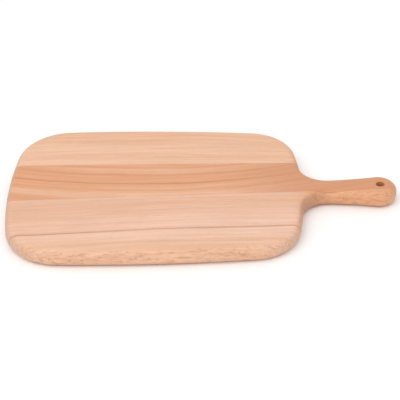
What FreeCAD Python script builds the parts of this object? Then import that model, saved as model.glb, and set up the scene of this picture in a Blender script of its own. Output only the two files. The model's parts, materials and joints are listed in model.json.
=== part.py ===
import FreeCAD, Part
import math
import os
import Sketcher

# Cutting board with a hanging handle, edge-glued from four beech staves and then cut to one outline.
#
# Frame: millimetres, +Z up. The origin is under the middle of the overall length, on the centreline,
# at the underside that rests on the worktop. +X runs along the grain from the heel to the handle's tip.
# The front is -Y. Each stave is what the board's form shares with the panel between two glued seams,
# and a film of glue fills each seam from face to face. The middle and front seams aren't parallel to
# the centreline: the handle stave narrows towards the handle, and the stave in front of it a little.

DIMENSIONS = [
    ("blade_length", 304, "heel to where the shoulder would cross the centreline"),
    ("handle_length", 96, "from there to the handle's tip"),
    ("blade_width", 228, "across the widest place of the blade"),
    ("thickness", 19, "underside to work face"),
    ("widest_from_heel", 112, "heel to the widest place of the blade"),
    ("heel_radius", 500, "bow of the end away from the handle"),
    ("heel_corner_radius", 56, "corners at the heel"),
    ("side_radius", 1600, "bow of the long sides"),
    ("shoulder_corner_radius", 49, "corners at the handle end of the blade"),
    ("shoulder_radius", 400, "bow of the end that carries the handle"),
    ("neck_radius", 28, "hollow where the shoulder turns into the handle"),
    ("waist_radius", 400, "hollow along each side of the handle"),
    ("waist_width", 24.4, "handle width at the narrowest place of that hollow"),
    ("tip_radius", 18.5, "round end of the handle"),
    ("edge_radius", 8, "rounding of the upper and lower edges"),
    ("least_side_flat", 1, "height of the side that the two roundings leave straight, at least"),
    ("hole_diameter", 9, "hanging hole"),
    ("hole_from_tip", 17, "hanging hole's axis to handle tip"),
    ("hole_rim_chamfer", 0.5, "easing of the hole's two rims"),
    ("rear_seam_offset", 41.7, "centreline to the rear seam, at the middle of the length"),
    ("handle_stave_width", 57.6, "rear seam to middle seam, at the middle of the length"),
    ("handle_stave_taper", 2.2, "degrees between those two seams"),
    ("middle_stave_width", 59.8, "middle seam to front seam, at the middle of the length"),
    ("middle_stave_taper", 0.6, "degrees between those two seams"),
    ("glue_thickness", 0.15, "film in each seam"),
    ("panel_margin", 40, "how far the uncut panel stands out past the board's form"),
]

# Half the overall length, as an expression on the sheet.
HALF_LENGTH = "((Dimensions.blade_length + Dimensions.handle_length) / 2)"

doc = FreeCAD.newDocument("cutting_board")


def fill_sheet():
    """The driving dimensions, one to a row, with the alias that expressions use."""
    sheet = doc.addObject("Spreadsheet::Sheet", "Dimensions")
    for row, (alias, value, meaning) in enumerate(DIMENSIONS, start=1):
        sheet.set(f"A{row}", alias)
        sheet.set(f"B{row}", str(value))
        sheet.set(f"C{row}", meaning)
        sheet.setAlias(f"B{row}", alias)
    doc.recompute()
    return sheet


sheet = fill_sheet()


def origin_plane(body, role):
    """One of a body's own origin planes."""
    return next(f for f in body.Origin.OriginFeatures if f.Role == role)


def new_sketch(body, name):
    """An empty sketch on the body's XY plane."""
    sketch = body.newObject("Sketcher::SketchObject", name)
    sketch.AttachmentSupport = (origin_plane(body, "XY_Plane"), [""])
    sketch.MapMode = "FlatFace"
    return sketch


def drive(sketch, expression, *constraint):
    """Adds a dimension to a sketch and binds it to an expression on the sheet."""
    value = sketch.evalExpression(expression)
    index = sketch.addConstraint(Sketcher.Constraint(*constraint, value))
    sketch.setExpression(f"Constraints[{index}]", expression)


def touching_centre(centre_1, reach_1, centre_2, reach_2, end):
    """The point at reach_1 from one centre and reach_2 from another; end is +1 for the one
    further along +X and -1 for the other."""
    span = centre_2 - centre_1
    along = (reach_1**2 - reach_2**2 + span.Length**2) / (2 * span.Length)
    across = math.sqrt(reach_1**2 - along**2)
    ray = FreeCAD.Vector(span).normalize()
    foot = centre_1 + ray * along
    side = FreeCAD.Vector(-ray.y, ray.x, 0) * across
    return max(foot + side, foot - side, key=lambda point: end * point.x)


def half_length():
    """Half the overall length."""
    return (sheet.blade_length + sheet.handle_length) / 2


def outline_arcs():
    """Centre, radius and hollowness of the eight tangent arcs from the heel to the handle's tip."""
    tip_x = half_length()
    heel_x = -tip_x
    half_width = sheet.blade_width / 2
    half_waist = sheet.waist_width / 2
    heel = FreeCAD.Vector(heel_x + sheet.heel_radius, 0, 0)
    side = FreeCAD.Vector(heel_x + sheet.widest_from_heel, half_width - sheet.side_radius, 0)
    shoulder = FreeCAD.Vector(heel_x + sheet.blade_length - sheet.shoulder_radius, 0, 0)
    tip = FreeCAD.Vector(tip_x - sheet.tip_radius, 0, 0)
    waist_y = half_waist + sheet.waist_radius
    waist_x = tip.x - math.sqrt((sheet.waist_radius + sheet.tip_radius) ** 2 - waist_y**2)
    waist = FreeCAD.Vector(waist_x, waist_y, 0)
    heel_corner = touching_centre(
        side, sheet.side_radius - sheet.heel_corner_radius,
        heel, sheet.heel_radius - sheet.heel_corner_radius, -1)
    shoulder_corner = touching_centre(
        side, sheet.side_radius - sheet.shoulder_corner_radius,
        shoulder, sheet.shoulder_radius - sheet.shoulder_corner_radius, 1)
    neck = touching_centre(
        shoulder, sheet.shoulder_radius + sheet.neck_radius,
        waist, sheet.waist_radius - sheet.neck_radius, 1)
    return [
        (heel, sheet.heel_radius, False),
        (heel_corner, sheet.heel_corner_radius, False),
        (side, sheet.side_radius, False),
        (shoulder_corner, sheet.shoulder_corner_radius, False),
        (shoulder, sheet.shoulder_radius, False),
        (neck, sheet.neck_radius, True),
        (waist, sheet.waist_radius, True),
        (tip, sheet.tip_radius, False),
    ]


def joint_between(arc, following):
    """Where one arc runs into the next: on the line through their centres."""
    centre, radius, hollow = arc
    next_centre, next_radius, next_hollow = following
    ray = (next_centre - centre).normalize()
    if hollow == next_hollow and next_radius > radius:
        ray = -ray
    return centre + ray * radius


def draw_half_outline(body):
    """The rear half of the board's outline: eight tangent arcs closed along the centreline."""
    sketch = new_sketch(body, "half_outline")
    arcs = outline_arcs()
    heel_end = FreeCAD.Vector(-half_length(), 0, 0)
    tip_end = FreeCAD.Vector(half_length(), 0, 0)
    joints = [joint_between(arc, following) for arc, following in zip(arcs, arcs[1:])]
    stations = [heel_end] + joints + [tip_end]
    for (centre, radius, hollow), first, last in zip(arcs, stations, stations[1:]):
        ends = (first, last) if hollow else (last, first)
        angles = [math.atan2(end.y - centre.y, end.x - centre.x) for end in ends]
        circle = Part.Circle(centre, FreeCAD.Vector(0, 0, 1), radius)
        sketch.addGeometry(Part.ArcOfCircle(circle, *angles), False)
    centreline = sketch.addGeometry(Part.LineSegment(tip_end, heel_end), False)

    # An arc's point 1 is where it starts counter-clockwise, so a hollow arc runs from 1 to 2
    # on the way to the tip, and a bulging one from 2 to 1.
    entry = [1 if hollow else 2 for _, _, hollow in arcs]
    leave = [2 if hollow else 1 for _, _, hollow in arcs]
    heel, heel_corner, side, shoulder_corner, shoulder, neck, waist, tip = range(len(arcs))
    for arc in range(len(arcs) - 1):
        sketch.addConstraint(
            Sketcher.Constraint("Tangent", arc, leave[arc], arc + 1, entry[arc + 1]))
    x_axis, centre_point = -1, 3
    for arc in (heel, shoulder, tip):
        sketch.addConstraint(Sketcher.Constraint("PointOnObject", arc, centre_point, x_axis))
    sketch.addConstraint(Sketcher.Constraint("Coincident", centreline, 2, heel, entry[heel]))
    sketch.addConstraint(Sketcher.Constraint("Coincident", centreline, 1, tip, leave[tip]))
    sketch.addConstraint(Sketcher.Constraint("PointOnObject", centreline, 1, x_axis))
    sketch.addConstraint(Sketcher.Constraint("PointOnObject", centreline, 2, x_axis))

    drive(sketch, "Dimensions.heel_radius", "Radius", heel)
    drive(sketch, "Dimensions.heel_corner_radius", "Radius", heel_corner)
    drive(sketch, "Dimensions.side_radius", "Radius", side)
    drive(sketch, "Dimensions.shoulder_corner_radius", "Radius", shoulder_corner)
    drive(sketch, "Dimensions.shoulder_radius", "Radius", shoulder)
    drive(sketch, "Dimensions.neck_radius", "Radius", neck)
    drive(sketch, "Dimensions.waist_radius", "Radius", waist)
    drive(sketch, "Dimensions.tip_radius", "Radius", tip)
    drive(sketch, f"-{HALF_LENGTH}", "DistanceX", -1, 1, centreline, 2)
    drive(sketch, HALF_LENGTH, "DistanceX", -1, 1, centreline, 1)
    drive(sketch, f"Dimensions.widest_from_heel - {HALF_LENGTH}",
          "DistanceX", -1, 1, side, centre_point)
    drive(sketch, "Dimensions.blade_width / 2 - Dimensions.side_radius",
          "DistanceY", -1, 1, side, centre_point)
    drive(sketch, f"Dimensions.blade_length - Dimensions.shoulder_radius - {HALF_LENGTH}",
          "DistanceX", -1, 1, shoulder, centre_point)
    drive(sketch, "Dimensions.waist_width / 2 + Dimensions.waist_radius",
          "DistanceY", -1, 1, waist, centre_point)
    return sketch


def edges_where(shape, test):
    """The names of a shape's edges that pass the test."""
    return [f"Edge{i}" for i, edge in enumerate(shape.Edges, start=1) if test(edge)]


def is_level(edge):
    """Whether an edge lies in one horizontal plane."""
    return edge.BoundBox.ZLength < edge.Tolerance


def make_board_form():
    """The whole board's outer form with its rounded edges and hanging hole. It isn't a piece."""
    body = doc.addObject("PartDesign::Body", "board_form")
    half = body.newObject("PartDesign::Pad", "half_board")
    half.Profile = draw_half_outline(body)
    half.setExpression("Length", "Dimensions.thickness")
    doc.recompute()

    whole = body.newObject("PartDesign::Mirrored", "whole_board")
    whole.Originals = [half]
    whole.MirrorPlane = (origin_plane(body, "XZ_Plane"), [""])
    whole.Refine = True
    body.Tip = whole
    doc.recompute()

    rounding = body.newObject("PartDesign::Fillet", "edge_rounding")
    rounding.Base = (whole, edges_where(whole.Shape, is_level))
    rounding.setExpression(
        "Radius",
        "min(Dimensions.edge_radius; (Dimensions.thickness - Dimensions.least_side_flat) / 2)")
    doc.recompute()

    circle = new_sketch(body, "hole_circle")
    hole_x = half_length() - sheet.hole_from_tip
    hole_radius = sheet.hole_diameter / 2
    axis = FreeCAD.Vector(hole_x, 0, 0)
    circle.addGeometry(Part.Circle(axis, FreeCAD.Vector(0, 0, 1), hole_radius), False)
    circle.addConstraint(Sketcher.Constraint("PointOnObject", 0, 3, -1))
    drive(circle, "Dimensions.hole_diameter", "Diameter", 0)
    drive(circle, f"{HALF_LENGTH} - Dimensions.hole_from_tip", "DistanceX", -1, 1, 0, 3)
    hole = body.newObject("PartDesign::Pocket", "hanging_hole")
    hole.Profile = circle
    hole.Type = "ThroughAll"
    hole.Midplane = True
    doc.recompute()

    def is_hole_rim(edge):
        middle = edge.BoundBox.Center
        return is_level(edge) and math.hypot(middle.x - hole_x, middle.y) < hole_radius / 2

    easing = body.newObject("PartDesign::Chamfer", "hole_easing")
    easing.Base = (hole, edges_where(hole.Shape, is_hole_rim))
    easing.setExpression("Size", "Dimensions.hole_rim_chamfer")
    doc.recompute()
    return body


# Each seam's place on the centre cross-section and its angle to the centreline.
SEAMS = {
    "rear": ("Dimensions.rear_seam_offset", "0"),
    "middle": ("(Dimensions.rear_seam_offset - Dimensions.handle_stave_width)",
               "Dimensions.handle_stave_taper"),
    "front": ("(Dimensions.rear_seam_offset - Dimensions.handle_stave_width"
              " - Dimensions.middle_stave_width)",
              "(Dimensions.handle_stave_taper + Dimensions.middle_stave_taper)"),
}


def block_from_seam(name, face_y, angle, width):
    """A block of panel whose near face passes through (0, face_y) at an angle to the centreline,
    and which reaches the given width to the left of that direction."""
    reach = f"({HALF_LENGTH} + Dimensions.panel_margin)"
    block = doc.addObject("Part::Box", name)
    block.setExpression("Length", f"2 * {reach}")
    block.setExpression("Width", width)
    block.setExpression("Height", "Dimensions.thickness")
    block.setExpression("Placement.Rotation.Angle", f"{angle} * 1 deg")
    block.setExpression("Placement.Base.x", f"-{reach} * cos({angle} * 1 deg)")
    block.setExpression("Placement.Base.y", f"{face_y} - {reach} * sin({angle} * 1 deg)")
    return block


def make_seam(name):
    """The panel behind a seam, the panel in front of it, and the slot between them."""
    offset, skew = SEAMS[name]
    half_film = "Dimensions.glue_thickness / 2"
    across = "(Dimensions.blade_width + Dimensions.panel_margin)"
    behind = block_from_seam(
        f"behind_{name}_seam", f"{offset} + {half_film}", skew, across)
    before = block_from_seam(
        f"before_{name}_seam", f"{offset} - {half_film}", f"({skew} + 180)", across)
    slot = block_from_seam(
        f"{name}_slot", f"{offset} - {half_film}", skew,
        f"Dimensions.glue_thickness * cos({skew} * 1 deg)")
    return behind, before, slot


def make_piece(label, *solids):
    """A piece of the board: what its form shares with the given blocks."""
    piece = doc.addObject("Part::MultiCommon", label)
    piece.Label = label
    piece.Shapes = list(solids)
    piece.Placement = FreeCAD.Placement()
    return piece


def make_pieces():
    """Four staves and the three films of glue between them."""
    form = make_board_form()
    behind_rear, before_rear, rear_slot = make_seam("rear")
    behind_middle, before_middle, middle_slot = make_seam("middle")
    behind_front, before_front, front_slot = make_seam("front")
    return [
        make_piece("rear_stave", form, behind_rear),
        make_piece("rear_glue_line", form, rear_slot),
        make_piece("handle_stave", form, before_rear, behind_middle),
        make_piece("middle_glue_line", form, middle_slot),
        make_piece("middle_stave", form, before_middle, behind_front),
        make_piece("front_glue_line", form, front_slot),
        make_piece("front_stave", form, before_front),
    ]


def check(pieces):
    """Stops the build where an object failed, or where the pieces don't add up to the form."""
    for item in doc.Objects:
        if "Invalid" in item.State or "Error" in item.State:
            raise RuntimeError(f"{item.Label} failed: {item.State}")
    for piece in pieces:
        if piece.Shape.isNull() or not piece.Shape.isValid() or not piece.Shape.Solids:
            raise RuntimeError(f"{piece.Label} isn't a valid solid")
    drilled = doc.edge_rounding.Shape.Volume - doc.hanging_hole.Shape.Volume
    hole_volume = math.pi * (sheet.hole_diameter / 2) ** 2 * sheet.thickness
    if not math.isclose(drilled, hole_volume, rel_tol=0.001):
        raise RuntimeError("the hanging hole doesn't go right through")
    total = sum(piece.Shape.Volume for piece in pieces)
    if not math.isclose(total, doc.board_form.Shape.Volume, rel_tol=0.0001):
        raise RuntimeError("the staves and glue don't fill the board's form")


pieces = make_pieces()
doc.recompute()
check(pieces)
os.makedirs("parts", exist_ok=True)
for piece in pieces:
    piece.Shape.exportStep(f"parts/{piece.Label}.step")
    box = piece.Shape.BoundBox
    print(f"{piece.Label}: {box.XLength:.1f} x {box.YLength:.1f} x {box.ZLength:.1f} mm")
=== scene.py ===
# The looks of a beech cutting board with a hanging handle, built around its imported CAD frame.
#
# Metres, in the CAD frame: +X runs along the grain to the handle's tip, +Y is the rear, +Z is up, and
# the origin is under the middle of the board. One smooth mesh of the whole board is cut along the
# planes of the three CAD glue films, so each stave and each film fills the place of its CAD node.
# The wood is a solid pattern: its growth rings run through each stave from face to face.
import json
import math
from collections import namedtuple

import bmesh
import bpy
from mathutils import Matrix, Vector

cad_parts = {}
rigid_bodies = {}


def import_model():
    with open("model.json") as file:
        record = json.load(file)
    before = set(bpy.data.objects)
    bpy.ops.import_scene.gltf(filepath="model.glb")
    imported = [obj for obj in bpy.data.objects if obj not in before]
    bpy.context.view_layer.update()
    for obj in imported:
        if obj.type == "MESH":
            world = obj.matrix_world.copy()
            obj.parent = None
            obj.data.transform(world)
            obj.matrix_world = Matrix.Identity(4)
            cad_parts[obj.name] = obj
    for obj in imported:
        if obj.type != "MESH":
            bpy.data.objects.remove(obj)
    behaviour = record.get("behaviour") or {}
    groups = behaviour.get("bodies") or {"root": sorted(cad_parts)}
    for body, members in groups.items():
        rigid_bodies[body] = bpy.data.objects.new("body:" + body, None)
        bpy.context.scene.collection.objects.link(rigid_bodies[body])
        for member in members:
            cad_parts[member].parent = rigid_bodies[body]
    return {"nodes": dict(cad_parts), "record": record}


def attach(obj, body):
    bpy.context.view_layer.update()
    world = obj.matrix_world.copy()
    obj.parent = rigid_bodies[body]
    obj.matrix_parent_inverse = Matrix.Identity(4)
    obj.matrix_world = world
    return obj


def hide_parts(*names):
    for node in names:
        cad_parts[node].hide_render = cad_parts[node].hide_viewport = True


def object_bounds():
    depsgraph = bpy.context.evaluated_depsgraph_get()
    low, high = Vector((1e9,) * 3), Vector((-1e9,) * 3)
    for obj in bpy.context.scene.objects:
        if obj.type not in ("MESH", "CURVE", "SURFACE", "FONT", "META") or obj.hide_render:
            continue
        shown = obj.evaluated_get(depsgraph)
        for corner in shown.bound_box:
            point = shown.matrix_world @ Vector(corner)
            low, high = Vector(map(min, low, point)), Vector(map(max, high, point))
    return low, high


for leftover in list(bpy.data.objects):
    bpy.data.objects.remove(leftover)
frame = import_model()
cad_low, cad_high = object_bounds()

MM = 0.001

# The board's outline, as eight tangent arcs from the heel to the handle's tip.
BLADE_LENGTH = 304 * MM
WIDEST_FROM_HEEL = 112 * MM
HEEL_RADIUS = 500 * MM
HEEL_CORNER_RADIUS = 56 * MM
SIDE_RADIUS = 1600 * MM
SHOULDER_CORNER_RADIUS = 49 * MM
SHOULDER_RADIUS = 400 * MM
NECK_RADIUS = 28 * MM
WAIST_RADIUS = 400 * MM
WAIST_WIDTH = 24.4 * MM
TIP_RADIUS = 18.5 * MM
EDGE_RADIUS = 8 * MM
HEEL_X = cad_low.x
TIP_X = cad_high.x
HALF_WIDTH = min(cad_high.y, -cad_low.y)
THICKNESS = cad_high.z - cad_low.z

# The hanging hole stands on the CAD's bore mount. Its rims are eased by hand.
HOLE = next(m for m in frame["record"]["mounts"] if m["name"] == "hanging_hole")
HOLE_RADIUS = HOLE["dims"]["r_mm"] * MM
HOLE_X = HOLE["pos_m"][0]
HOLE_RIM = 0.5 * MM

# How finely the surface is divided, and how closely it is cut along the seams.
OUTLINE_STEP = 1.6 * MM
OUTLINE_TURN = math.radians(3)
ROUNDING_STEPS = 12
STRIPS_ACROSS = 18
HOLE_SIDES = 96
RIM_ANGLES = (80, 60, 40, 20, 0)
CUT_TOLERANCE = 1e-7
SHARP_ANGLE = math.radians(35)

# The light that the studio throws on the work face, and what the bare wood's sheen adds to its
# own colour there, as shares of white.
STUDIO_LIGHT = 1.08
SHEEN = 0.022

# How many cells of each of the wood's patterns fit in a metre: along the grain, across and up.
SWAY = (11, 26, 26)
RIPPLES = (60, 120, 120)
BANDS = (3, 110, 30)
PATCHES = (9, 22, 22)
STREAKS = (14, 620, 250)
FIBRES = (120, 2600, 2600)
FIGURE = (110, 520, 460)
FINE_RAYS = (420, 2000, 900)
LARGE_RAYS = (250, 900, 340)
TORN_EDGES = (900, 2600, 1300)
GLUE_DUST = (260, 900, 900)

# Where painted shade darkens the sides of the neck's hollow, and how far along it.
NECK_X = 110 * MM
NECK_DARKEST_WITHIN = 5 * MM
NECK_DARK_WITHIN = 20 * MM

FLOOR_REACH = 6.0
FLOOR_GAP = 0.2 * MM

# A seam of the board: the planes of its glue film's two faces. Each plane is its direction, towards the
# rear, and its distance from the origin along that direction.
Seam = namedtuple("Seam", "front_face rear_face")


def touching_centre(centre_1, reach_1, centre_2, reach_2, end):
    """The point at reach_1 from one centre and reach_2 from another; end is +1 for the one
    further along +X and -1 for the other."""
    span = centre_2 - centre_1
    along = (reach_1**2 - reach_2**2 + span.length_squared) / (2 * span.length)
    across = math.sqrt(reach_1**2 - along**2)
    ray = span.normalized()
    foot = centre_1 + ray * along
    side = Vector((-ray.y, ray.x)) * across
    return max(foot + side, foot - side, key=lambda point: end * point.x)


def outline_arcs():
    """Centre, radius and hollowness of the rear half's arcs from the heel to the handle's tip."""
    heel = Vector((HEEL_X + HEEL_RADIUS, 0))
    side = Vector((HEEL_X + WIDEST_FROM_HEEL, HALF_WIDTH - SIDE_RADIUS))
    shoulder = Vector((HEEL_X + BLADE_LENGTH - SHOULDER_RADIUS, 0))
    tip = Vector((TIP_X - TIP_RADIUS, 0))
    waist_y = WAIST_WIDTH / 2 + WAIST_RADIUS
    waist_x = tip.x - math.sqrt((WAIST_RADIUS + TIP_RADIUS) ** 2 - waist_y**2)
    waist = Vector((waist_x, waist_y))
    heel_corner = touching_centre(
        side, SIDE_RADIUS - HEEL_CORNER_RADIUS, heel, HEEL_RADIUS - HEEL_CORNER_RADIUS, -1)
    shoulder_corner = touching_centre(
        side, SIDE_RADIUS - SHOULDER_CORNER_RADIUS,
        shoulder, SHOULDER_RADIUS - SHOULDER_CORNER_RADIUS, 1)
    neck = touching_centre(
        shoulder, SHOULDER_RADIUS + NECK_RADIUS, waist, WAIST_RADIUS - NECK_RADIUS, 1)
    return [
        (heel, HEEL_RADIUS, False),
        (heel_corner, HEEL_CORNER_RADIUS, False),
        (side, SIDE_RADIUS, False),
        (shoulder_corner, SHOULDER_CORNER_RADIUS, False),
        (shoulder, SHOULDER_RADIUS, False),
        (neck, NECK_RADIUS, True),
        (waist, WAIST_RADIUS, True),
        (tip, TIP_RADIUS, False),
    ]


def joint_between(arc, following):
    """Where one arc runs into the next: on the line through their centres."""
    centre, radius, hollow = arc
    next_centre, next_radius, next_hollow = following
    ray = (next_centre - centre).normalized()
    if hollow == next_hollow and next_radius > radius:
        ray = -ray
    return centre + ray * radius


def rear_outline():
    """Points along the rear half of the outline from heel to tip, each with its outward direction."""
    arcs = outline_arcs()
    joints = [joint_between(arc, following) for arc, following in zip(arcs, arcs[1:])]
    stations = [Vector((HEEL_X, 0))] + joints + [Vector((TIP_X, 0))]
    outline = []
    for (centre, radius, hollow), first, last in zip(arcs, stations, stations[1:]):
        start, end = [math.atan2(p.y - centre.y, p.x - centre.x) for p in (first, last)]
        turn = end - start
        steps = math.ceil(max(abs(turn) * radius / OUTLINE_STEP, abs(turn) / OUTLINE_TURN))
        for step in range(steps):
            angle = start + turn * step / steps
            ray = Vector((math.cos(angle), math.sin(angle)))
            outline.append((centre + ray * radius, -ray if hollow else ray))
    outline.append((Vector((TIP_X, 0)), Vector((1, 0))))
    return outline


def edge_profile():
    """Inset and height from the work face's border, round the edge, to the underside's border."""
    profile = []
    for step in range(2 * ROUNDING_STEPS + 2):
        lower = step > ROUNDING_STEPS
        angle = math.radians(90) * (step - lower) / ROUNDING_STEPS
        middle = EDGE_RADIUS if lower else THICKNESS - EDGE_RADIUS
        inset = EDGE_RADIUS * (1 - math.sin(angle))
        profile.append((inset, cad_low.z + middle + EDGE_RADIUS * math.cos(angle)))
    return profile


def mirrored(pair):
    """A point of the outline and its direction, on the front side."""
    point, ray = pair
    return Vector((point.x, -point.y)), Vector((ray.x, -ray.y))


def add_face_strips(bm, ring, half_count, upward):
    """Fills the flat face inside a closed ring with strips from its rear half to its front half."""
    def column(i):
        rear = ring[i]
        front = ring[-i]
        if rear is front:
            return [rear]
        between = [rear.co.lerp(front.co, k / STRIPS_ACROSS) for k in range(1, STRIPS_ACROSS)]
        return [rear] + [bm.verts.new(co) for co in between] + [front]

    columns = [[ring[0]]] + [column(i) for i in range(1, half_count)] + [[ring[half_count]]]
    for left, right in zip(columns, columns[1:]):
        for k in range(STRIPS_ACROSS):
            corners = [left[min(k, len(left) - 1)], right[min(k, len(right) - 1)],
                       right[min(k + 1, len(right) - 1)], left[min(k + 1, len(left) - 1)]]
            distinct = list(dict.fromkeys(corners))
            bm.faces.new(distinct[::-1] if upward else distinct)


def board_mesh():
    """The whole board as one closed mesh without its hole."""
    rear = rear_outline()
    outline = rear + [mirrored(pair) for pair in rear[-2:0:-1]]
    bm = bmesh.new()
    rings = []
    for inset, height in edge_profile():
        inner = [point - ray * inset for point, ray in outline]
        rings.append([bm.verts.new((point.x, point.y, height)) for point in inner])
    for upper, lower in zip(rings, rings[1:]):
        for i in range(len(outline)):
            bm.faces.new((upper[i - 1], upper[i], lower[i], lower[i - 1]))
    add_face_strips(bm, rings[0], len(rear) - 1, upward=True)
    add_face_strips(bm, rings[-1], len(rear) - 1, upward=False)
    bmesh.ops.recalc_face_normals(bm, faces=bm.faces)
    return bm_to_mesh(bm, "board_form")


def bm_to_mesh(bm, name):
    """A new mesh from a bmesh, which is freed."""
    mesh = bpy.data.meshes.new(name)
    bm.to_mesh(mesh)
    bm.free()
    return mesh


def hole_mesh():
    """What the hanging hole takes away: a bore whose two rims are eased."""
    bottom = cad_low.z
    top = cad_high.z
    flare = HOLE_RADIUS + 2 * HOLE_RIM
    half_profile = [(flare, bottom - HOLE_RIM)]
    for angle in RIM_ANGLES:
        ease = HOLE_RIM * (1 - math.cos(math.radians(angle)))
        depth = HOLE_RIM * (1 - math.sin(math.radians(angle)))
        half_profile.append((HOLE_RADIUS + ease, bottom + depth))
    profile = half_profile + [(r, top + bottom - z) for r, z in reversed(half_profile)]
    bm = bmesh.new()
    rings = []
    for radius, height in profile:
        angles = [math.tau * k / HOLE_SIDES for k in range(HOLE_SIDES)]
        rings.append([bm.verts.new((HOLE_X + radius * math.cos(a), radius * math.sin(a), height))
                      for a in angles])
    for lower, upper in zip(rings, rings[1:]):
        for k in range(HOLE_SIDES):
            bm.faces.new((lower[k - 1], lower[k], upper[k], upper[k - 1]))
    bm.faces.new(rings[0])
    bm.faces.new(rings[-1])
    bmesh.ops.recalc_face_normals(bm, faces=bm.faces)
    return bm_to_mesh(bm, "hole_form")


def drilled_board():
    """The whole board's mesh with its hole."""
    board = bpy.data.objects.new("board_form", board_mesh())
    drill = bpy.data.objects.new("hole_form", hole_mesh())
    for form in (board, drill):
        bpy.context.scene.collection.objects.link(form)
    cut = board.modifiers.new("hole", "BOOLEAN")
    cut.operation = "DIFFERENCE"
    cut.solver = "EXACT"
    cut.object = drill
    graph = bpy.context.evaluated_depsgraph_get()
    mesh = bpy.data.meshes.new_from_object(board.evaluated_get(graph))
    for form in (board, drill):
        bpy.data.objects.remove(form)
    return mesh


def seam_of(node):
    """The seam that a CAD glue film fills."""
    film = frame["nodes"][node].data
    across = max(film.polygons, key=lambda face: face.area).normal.copy()
    if across.y < 0:
        across.negate()
    reach = [across.dot(vertex.co) for vertex in film.vertices]
    return Seam((across, min(reach)), (across, max(reach)))


def keep_side(bm, across, distance, side):
    """Cuts a mesh along a plane, keeps the side +1 beyond it or -1 before it, and closes the cut."""
    geometry = bm.verts[:] + bm.edges[:] + bm.faces[:]
    cut = bmesh.ops.bisect_plane(
        bm, geom=geometry, plane_co=across * distance, plane_no=across, dist=CUT_TOLERANCE,
        clear_outer=side < 0, clear_inner=side > 0)
    rim = [e for e in cut["geom_cut"] if isinstance(e, bmesh.types.BMEdge) and e.is_boundary]
    bmesh.ops.holes_fill(bm, edges=rim, sides=0)


def cut_piece(board, node, rear_limit=None, front_limit=None):
    """The part of the board between two of the seams' planes, as the piece that stands for a
    CAD node. A missing plane leaves that side whole."""
    bm = bmesh.new()
    bm.from_mesh(board)
    if rear_limit:
        keep_side(bm, *rear_limit, side=-1)
    if front_limit:
        keep_side(bm, *front_limit, side=1)
    mesh = bm_to_mesh(bm, node + "_wood")
    mesh.shade_smooth()
    mesh.set_sharp_from_angle(angle=SHARP_ANGLE)
    piece = bpy.data.objects.new(mesh.name, mesh)
    bpy.context.scene.collection.objects.link(piece)
    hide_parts(node)
    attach(piece, "root")
    return piece


class Shader:
    """One material's nodes, added and linked in the order they are worked out."""

    def __init__(self, name):
        self.material = bpy.data.materials.new(name)
        self.material.use_nodes = True
        self.tree = self.material.node_tree
        self.surface = self.tree.nodes["Principled BSDF"]

    def feed(self, socket, value):
        """Links a socket to another node's output, or sets it to a constant."""
        if isinstance(value, bpy.types.NodeSocket):
            self.tree.links.new(value, socket)
        else:
            socket.default_value = value

    def add(self, kind, inputs, **settings):
        """Adds a node with its settings, and feeds its inputs by name or number."""
        node = self.tree.nodes.new(kind)
        for setting, value in settings.items():
            setattr(node, setting, value)
        for socket, value in inputs.items():
            self.feed(node.inputs[socket], value)
        return node

    def math(self, operation, *values):
        """The result of one sum."""
        inputs = dict(enumerate(values))
        return self.add("ShaderNodeMath", inputs, operation=operation).outputs[0]

    def parts(self, place):
        """The three coordinates of a place."""
        return self.add("ShaderNodeSeparateXYZ", {0: place}).outputs

    def point(self, x, y, z):
        """The place that has three coordinates."""
        return self.add("ShaderNodeCombineXYZ", {0: x, 1: y, 2: z}).outputs[0]

    def scaled(self, place, cells):
        """A place with each of its axes multiplied, for a pattern of so many cells to a metre."""
        inputs = {0: place, 1: cells}
        return self.add("ShaderNodeVectorMath", inputs, operation="MULTIPLY").outputs[0]

    def brightened(self, body, share):
        """A colour multiplied by a number."""
        inputs = {0: body, "Scale": share}
        return self.add("ShaderNodeVectorMath", inputs, operation="SCALE").outputs[0]

    def noise(self, place, cells, detail=3.0, roughness=0.55):
        """Smooth noise, mostly from 0.3 to 0.7."""
        inputs = {"Vector": self.scaled(place, cells), "Scale": 1.0,
                  "Detail": detail, "Roughness": roughness}
        return self.add("ShaderNodeTexNoise", inputs).outputs[0]

    def varied(self, value, noise, reach):
        """A value moved by noise, by at most half the reach either way."""
        return self.math("MULTIPLY_ADD", self.math("SUBTRACT", noise, 0.5), reach, value)

    def fade(self, value, low, high, to_low=0.0, to_high=1.0):
        """A value eased from one range to another, and held past its ends."""
        inputs = {"Value": value, "From Min": low, "From Max": high,
                  "To Min": to_low, "To Max": to_high}
        node = self.add("ShaderNodeMapRange", inputs, interpolation_type="SMOOTHSTEP")
        return node.outputs[0]

    def mix(self, share, first, second):
        """Two colours blended."""
        node = self.add("ShaderNodeMix", {}, data_type="RGBA")
        factor_socket, first_socket, second_socket, result = 0, 6, 7, 2
        self.feed(node.inputs[factor_socket], share)
        self.feed(node.inputs[first_socket], first)
        self.feed(node.inputs[second_socket], second)
        return node.outputs[result]


def colour(red, green, blue):
    """The shader colour that shows as these screen values, 0 to 255, in the studio's light."""
    def linear(value):
        share = value / 255
        return share / 12.92 if share <= 0.04045 else ((share + 0.055) / 1.055) ** 2.4

    return tuple((linear(v) - SHEEN) / STUDIO_LIGHT for v in (red, green, blue)) + (1.0,)


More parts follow.
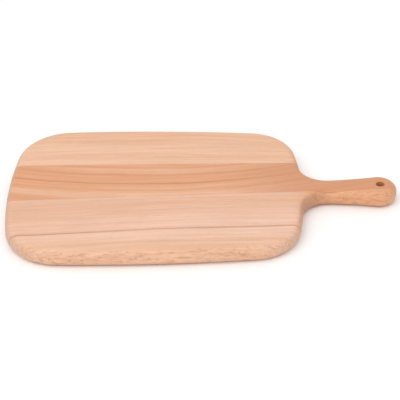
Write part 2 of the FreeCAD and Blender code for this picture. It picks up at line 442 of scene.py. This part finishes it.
def profile_across(shader, ring, look, stops):
    """A value along the ring coordinate from stops of (millimetres, value). Past the look's low and
    high, which only the wood below the work face reaches, the profile is mirrored."""
    low = look["low"]
    reach = look["high"] - low
    span = shader.math("DIVIDE", shader.math("SUBTRACT", ring, low * MM), reach * MM)
    folded = shader.math("PINGPONG", span, 1.0)
    node = shader.add("ShaderNodeValToRGB", {"Fac": folded})
    elements = node.color_ramp.elements
    while len(elements) < len(stops):
        elements.new(1.0)
    for element, (place, value) in zip(elements, sorted(stops)):
        element.position = (place - low) / reach
        element.color = (value, value, value, 1)
    return node.outputs["Color"]


def latewood_stops(lines):
    """Stops for growth rings. Each line is where its dark latewood ends, how strong it is, over
    how far it darkens from behind and how quickly it ends, in millimetres."""
    stops = []
    for place, strength, rise, end in lines:
        stops += [(place - end, 0.0), (place, strength), (place + 0.35 * rise, 0.4 * strength),
                  (place + rise, 0.0)]
    return stops


def growth_rings(shader, place, look):
    """The ring coordinate: how far a place is across the growth rings, as seen on the work face."""
    x, y, z = shader.parts(place)
    from_bow = shader.math("SUBTRACT", x, look["bow_x"])
    bow = shader.math("MULTIPLY", shader.math("MULTIPLY", from_bow, from_bow), look["bow"])
    swing = shader.math("MULTIPLY", from_bow, math.tau / look["wave_length"])
    wave = shader.math("MULTIPLY", shader.math("COSINE", swing), look["wave"])
    depth = shader.math("SUBTRACT", z, cad_high.z)
    ring = shader.math("SUBTRACT", shader.math("SUBTRACT", y, bow), wave)
    ring = shader.math("MULTIPLY_ADD", x, -look["slope"], ring)
    ring = shader.math("MULTIPLY_ADD", depth, look["tilt"], ring)
    ring = shader.varied(ring, shader.noise(place, SWAY, detail=2), look["sway"])
    return shader.varied(ring, shader.noise(place, RIPPLES, detail=2), look["ripple"])


def bare_wood(shader, place, grain, ring, latewood, look):
    """A stave's own colour: its tone across the rings, uneven bands and patches, its drift along
    the board, and its dark latewood."""
    x = shader.parts(place)[0]
    tone = profile_across(shader, ring, look, look["tones"])
    tone = shader.varied(tone, shader.noise(grain, BANDS), reach=1.6)
    tone = shader.varied(tone, shader.noise(place, PATCHES), reach=0.8)
    tone = shader.math("MULTIPLY_ADD", x, look["drift"], tone)
    body = shader.mix(shader.fade(tone, 0.0, 1.0), look["light"], look["deep"])
    return shader.mix(shader.math("MULTIPLY", latewood, look["contrast"]), body, look["ring"])


def ray_cells(shader, place, cells, torn, share_kept):
    """Torn-edged flecks, one to a cell, each with its own strength; only a share is kept."""
    inputs = {"Vector": shader.scaled(place, cells), "Scale": 1.0, "Randomness": 1.0}
    found = shader.add("ShaderNodeTexVoronoi", inputs).outputs
    lots = shader.add("ShaderNodeSeparateColor", {0: found["Color"]}).outputs
    reach = shader.math("MULTIPLY_ADD", torn, 0.35, found["Distance"])
    core = shader.fade(reach, 0.3, 0.7, to_low=1.0, to_high=0.0)
    kept = shader.math("MULTIPLY", core, shader.math("LESS_THAN", lots[0], share_kept))
    strength = shader.fade(lots[1], 0.0, 0.8, to_low=0.3, to_high=1.0)
    return shader.math("MULTIPLY", kept, strength)


def medullary_rays(shader, place, sideways, figure):
    """How strongly the dark of the rays shows: as fine short dashes along the grain on the faces,
    and on a side, which cuts along them, as dark streaks and a few soft flecks."""
    def eased(on_face, on_side):
        return shader.fade(sideways, 0, 1, on_face, on_side)

    torn = shader.noise(place, TORN_EDGES, detail=2)
    fine = ray_cells(shader, place, FINE_RAYS, torn, share_kept=0.6)
    large = ray_cells(shader, place, LARGE_RAYS, torn, share_kept=eased(0.02, 0.13))
    fine = shader.math("MULTIPLY", fine, eased(0.1, 0.2))
    large = shader.math("MULTIPLY", large, eased(0.2, 0.48))
    darkest = shader.math("MULTIPLY", sideways, 0.32)
    streaks = shader.fade(figure, 0.48, 0.34, to_low=0.0, to_high=darkest)
    return shader.math("MAXIMUM", shader.math("MAXIMUM", fine, large), streaks)


def neck_hollow_painted_shade(shader, body, x, sideways, look):
    """Painted shade on the sides of the neck's hollow, darkest at the neck."""
    from_neck = shader.math("ABSOLUTE", shader.math("SUBTRACT", x, NECK_X))
    neck_shade = shader.fade(from_neck, NECK_DARKEST_WITHIN, NECK_DARK_WITHIN, to_low=0.35, to_high=0.0)
    return shader.mix(shader.math("MULTIPLY", neck_shade, sideways), body, look["neck_shade"])


def scorched_bore(shader, body, x, y, look):
    """The drill scorches the bore's wall."""
    across = shader.point(shader.math("SUBTRACT", x, HOLE_X), y, 0.0)
    from_axis = shader.add("ShaderNodeVectorMath", {0: across}, operation="LENGTH").outputs["Value"]
    outside = HOLE_RADIUS + HOLE_RIM / 2
    wall = shader.fade(from_axis, HOLE_RADIUS, outside, to_low=0.6, to_high=0.0)
    return shader.mix(wall, body, look["bore"])


def sanded(shader, streak, fibre, latewood, ray):
    """How rough planed and sanded wood is, and the fine relief of its grain."""
    rough = shader.varied(0.56, streak, reach=0.3)
    rough = shader.math("MULTIPLY_ADD", latewood, -0.06, rough)
    rough = shader.math("MULTIPLY_ADD", ray, -0.2, rough)
    relief = shader.math("MULTIPLY_ADD", latewood, 0.5, shader.math("MULTIPLY", fibre, 0.8))
    relief = shader.math("ADD", relief, streak)
    relief = shader.math("MULTIPLY_ADD", ray, -0.6, relief)
    bump = shader.add("ShaderNodeBump", {"Height": relief, "Strength": 0.35, "Distance": 0.12 * MM})
    shader.feed(shader.surface.inputs["Roughness"], rough)
    shader.feed(shader.surface.inputs["Normal"], bump.outputs[0])
    shader.surface.inputs["Specular IOR Level"].default_value = 0.4


def wood(name, look):
    """Planed and sanded beech. look holds the stave's own rings and colours."""
    shader = Shader(name)
    places = shader.add("ShaderNodeTexCoord", {})
    place = places.outputs["Object"]
    x, y, z = shader.parts(place)
    lengthwise, _, upward = shader.parts(places.outputs["Normal"])
    sideways = shader.fade(shader.math("ABSOLUTE", upward), 0.98, 0.7)
    ring = growth_rings(shader, place, look)
    grain = shader.point(x, ring, z)
    latewood = profile_across(shader, ring, look, latewood_stops(look["lines"]))
    body = bare_wood(shader, place, grain, ring, latewood, look)

    # The wood is darker towards the handle.
    handled = shader.fade(x, look["handled_from"], look["handled_to"], to_high=look["handled"])
    body = shader.mix(handled, body, look["handle"])

    streak = shader.noise(grain, STREAKS, detail=4, roughness=0.6)
    fibre = shader.noise(grain, FIBRES)
    streaks = shader.fade(streak, 0.34, 0.66, to_low=0.93, to_high=1.05)
    fibres = shader.fade(fibre, 0.3, 0.7, to_low=0.95, to_high=1.04)
    body = shader.brightened(body, shader.math("MULTIPLY", streaks, fibres))

    # A side shines in streaks where it cuts along the rays.
    figure = shader.noise(place, FIGURE, detail=4, roughness=0.65)
    brightest = shader.math("MULTIPLY_ADD", sideways, 0.11, 1.0)
    shine = shader.fade(figure, 0.5, 0.64, to_low=1.0, to_high=brightest)
    body = shader.brightened(body, shine)
    ray = medullary_rays(shader, place, sideways, figure)
    body = shader.mix(ray, body, look["ray"])

    # End grain takes up more oil, so it is a little darker and greyer; in the neck's hollow this
    # darkening is also painted shade, and on the ends' roundings the grey is also a painted sheen.
    end_grain_and_painted_shade = shader.fade(shader.math("ABSOLUTE", lengthwise), 0.25, 0.9, to_high=0.55)
    body = shader.mix(end_grain_and_painted_shade, body, look["end"])

    # Painted shade in the neck's hollow, on its sides.
    body = neck_hollow_painted_shade(shader, body, x, sideways, look)
    body = scorched_bore(shader, body, x, y, look)
    shader.feed(shader.surface.inputs["Base Color"], body)
    sanded(shader, streak, fibre, latewood, ray)
    return shader.material


def glue(name):
    """Dried wood glue, amber, with the sanding dust that it holds."""
    shader = Shader(name)
    place = shader.add("ShaderNodeTexCoord", {}).outputs["Object"]
    dust = shader.noise(place, GLUE_DUST, detail=4)
    body = shader.mix(shader.fade(dust, 0.35, 0.65), colour(176, 122, 84), colour(140, 90, 56))
    shader.feed(shader.surface.inputs["Base Color"], body)
    rough = shader.fade(dust, 0.3, 0.7, to_low=0.3, to_high=0.5)
    shader.feed(shader.surface.inputs["Roughness"], rough)
    bump = shader.add("ShaderNodeBump", {"Height": dust, "Strength": 0.3, "Distance": 0.05 * MM})
    shader.feed(shader.surface.inputs["Normal"], bump.outputs[0])
    return shader.material


def floor_paint(name):
    """Matt white."""
    shader = Shader(name)
    shader.surface.inputs["Base Color"].default_value = (0.96, 0.96, 0.96, 1)
    shader.surface.inputs["Roughness"].default_value = 0.9
    shader.surface.inputs["Specular IOR Level"].default_value = 0.1
    return shader.material


# What a stave's look says. The ring coordinate runs across the grain as Y does. Its rings bow as a
# parabola about bow_x, wave, and slope and tilt as they go along and down; sway and ripple make
# them uneven. tones are the stops of its colour from light to deep, and lines its dark latewood
# (see latewood_stops), in millimetres of the ring coordinate between low and high. It deepens
# along X by drift, and takes the handle's colour from handled_from to handled_to.
PLAIN_LOOK = {
    "bow": 0.0, "bow_x": -40 * MM, "slope": 0.0, "wave": 0.0, "wave_length": 270 * MM,
    "tilt": 1.4, "drift": 0.0, "sway": 5 * MM, "ripple": 1.6 * MM, "contrast": 0.45,
    "handled_from": 85 * MM, "handled_to": 120 * MM, "handled": 0.9,
    # The second colour on the next line is the painted shade of the neck's hollow.
    "handle": colour(231, 170, 128), "neck_shade": colour(170, 116, 92),
    # end is end grain's darker colour, which also serves as painted shade in the neck and painted sheen
    # on the ends.
    "ring": colour(206, 142, 104), "ray": colour(150, 92, 54), "end": colour(205, 166, 144),
    "bore": colour(206, 140, 82),
}

REAR_LOOK = PLAIN_LOOK | {
    "bow": -0.35, "bow_x": -70 * MM, "low": 40, "high": 118, "contrast": 0.22,
    "light": colour(242, 197, 166), "deep": colour(234, 183, 149),
    "tones": [(41, 0.1), (50, 0.2), (60, 0.4), (74, 0.35), (80, 0.5), (91, 0.3), (97, 0.4),
              (104, 0.3), (116, 0.4)],
    "lines": [(62, 0.4, 4, 0.6), (71, 0.5, 5, 0.6), (82, 0.8, 6, 0.6), (90, 0.7, 5, 0.6),
              (98, 0.9, 6, 0.6), (107, 0.6, 5, 0.6)],
}

HANDLE_LOOK = PLAIN_LOOK | {
    "bow": 0.77, "bow_x": -54 * MM, "low": -50, "high": 42, "contrast": 0.6,
    "light": colour(239, 190, 159), "deep": colour(229, 168, 128),
    "ring": colour(190, 118, 76),
    "drift": -1.6, "handled_from": 0.0, "handled_to": 110 * MM, "handled": 0.75,
    "handle": colour(216, 152, 115),
    "tones": [(-50, 0.8), (-27.5, 0.8), (-26, 0.15), (-20, 0.35), (-14, 0.4), (-9, 0.7), (-2, 0.65),
              (3, 0.95), (9, 0.7), (17, 0.8), (20, 0.95), (28, 0.55), (31, 0.4), (34, 0.85),
              (40, 0.6)],
    "lines": [(-27.5, 0.45, 6, 0.7), (-8.8, 0.35, 4, 0.7), (3.4, 1.0, 4, 0.6),
              (20.2, 0.6, 4, 0.7), (34.2, 0.4, 3, 0.7)],
}

MIDDLE_LOOK = PLAIN_LOOK | {
    "slope": 0.0489, "wave": 1.25 * MM, "sway": 2 * MM, "ripple": 0.8 * MM,
    "low": -80, "high": -10, "contrast": 0.8, "tilt": 0.15, "drift": -1.8,
    "light": colour(242, 199, 173), "deep": colour(234, 184, 154),
    "ring": colour(176, 118, 88),
    "tones": [(-74, 0.3), (-68, 0.1), (-58, 0.15), (-48, 0.5), (-34, 0.6), (-20, 0.6)],
    "lines": [(-75.3, 1.0, 3, 0.4), (-62, 0.06, 4, 0.7), (-52, 0.08, 5, 0.7), (-41, 0.1, 5, 0.7),
              (-31, 0.1, 5, 0.7), (-22, 0.08, 4, 0.7)],
}

FRONT_LOOK = PLAIN_LOOK | {
    "slope": 0.0489, "wave": 1.25 * MM, "sway": 2 * MM, "ripple": 0.8 * MM,
    "low": -120, "high": -70, "contrast": 0.8, "tilt": 0.15, "drift": -1.4,
    "light": colour(242, 199, 173), "deep": colour(235, 187, 155),
    "ring": colour(176, 118, 88),
    "tones": [(-120, 1.0), (-111, 1.0), (-105, 0.6), (-100, 0.5), (-94, 0.6), (-86, 0.2), (-76, 0.1)],
    "lines": [(-112, 0.1, 4, 0.7), (-104, 0.12, 4, 0.7), (-96, 0.12, 4, 0.7), (-88, 0.1, 4, 0.7),
              (-75.3, 1.0, 3, 0.4)],
}


def make_board():
    """Four staves and the three glue films between them."""
    board = drilled_board()
    rear = seam_of("rear_glue_line")
    middle = seam_of("middle_glue_line")
    front = seam_of("front_glue_line")
    staves = [
        ("rear_stave", None, rear.rear_face, "beech_rear", REAR_LOOK),
        ("handle_stave", rear.front_face, middle.rear_face, "beech_handle", HANDLE_LOOK),
        ("middle_stave", middle.front_face, front.rear_face, "beech_middle", MIDDLE_LOOK),
        ("front_stave", front.front_face, None, "beech_front", FRONT_LOOK),
    ]
    for node, rear_limit, front_limit, slot, look in staves:
        piece = cut_piece(board, node, rear_limit, front_limit)
        piece.data.materials.append(wood(slot, look))

    films = [("rear_glue_line", rear), ("middle_glue_line", middle), ("front_glue_line", front)]
    amber = glue("wood_glue")
    for node, seam in films:
        piece = cut_piece(board, node, seam.rear_face, seam.front_face)
        piece.data.materials.append(amber)


def make_floor():
    """A plain white floor just under the board."""
    bm = bmesh.new()
    bmesh.ops.create_grid(bm, x_segments=1, y_segments=1, size=FLOOR_REACH)
    floor = bpy.data.objects.new("floor", bm_to_mesh(bm, "floor"))
    floor.location.z = cad_low.z - FLOOR_GAP
    bpy.context.scene.collection.objects.link(floor)
    floor.data.materials.append(floor_paint("pale_floor"))


def make_key_light():
    """A large soft lamp in front of the board, to its left, that looks at its middle."""
    light = bpy.data.lights.new("key", "AREA")
    light.size = 1.6
    light.energy = 11
    lamp = bpy.data.objects.new("key", light)
    lamp.location = (-0.5, -0.8, 1.6)
    towards = (cad_low + cad_high) / 2 - lamp.location
    lamp.rotation_euler = towards.to_track_quat("-Z", "Y").to_euler()
    bpy.context.scene.collection.objects.link(lamp)


def make_room():
    """Even light from a pale room, shown as it is."""
    world = bpy.data.worlds.new("studio")
    world.use_nodes = True
    background = world.node_tree.nodes["Background"]
    background.inputs["Color"].default_value = (1, 1, 1, 1)
    background.inputs["Strength"].default_value = 0.9
    bpy.context.scene.world = world
    bpy.context.scene.view_settings.view_transform = "Standard"


def make_camera():
    """A long lens in front of the board and above it, as the photo's outline of the board needs."""
    lens = bpy.data.cameras.new("camera")
    lens.lens = 125.67
    lens.sensor_width = 36
    camera = bpy.data.objects.new("camera", lens)
    down = math.radians(34.23)
    right = math.radians(-0.62)
    roll = math.radians(0.95)
    aim = Matrix.Rotation(-right, 4, "Z") @ Matrix.Rotation(math.radians(90) - down, 4, "X")
    place = Matrix.Translation((0.0107, -1.1945, 0.8141))
    camera.matrix_world = place @ aim @ Matrix.Rotation(-roll, 4, "Z")
    bpy.context.scene.collection.objects.link(camera)
    bpy.context.scene.camera = camera


make_board()
make_floor()
make_room()
make_key_light()
make_camera()
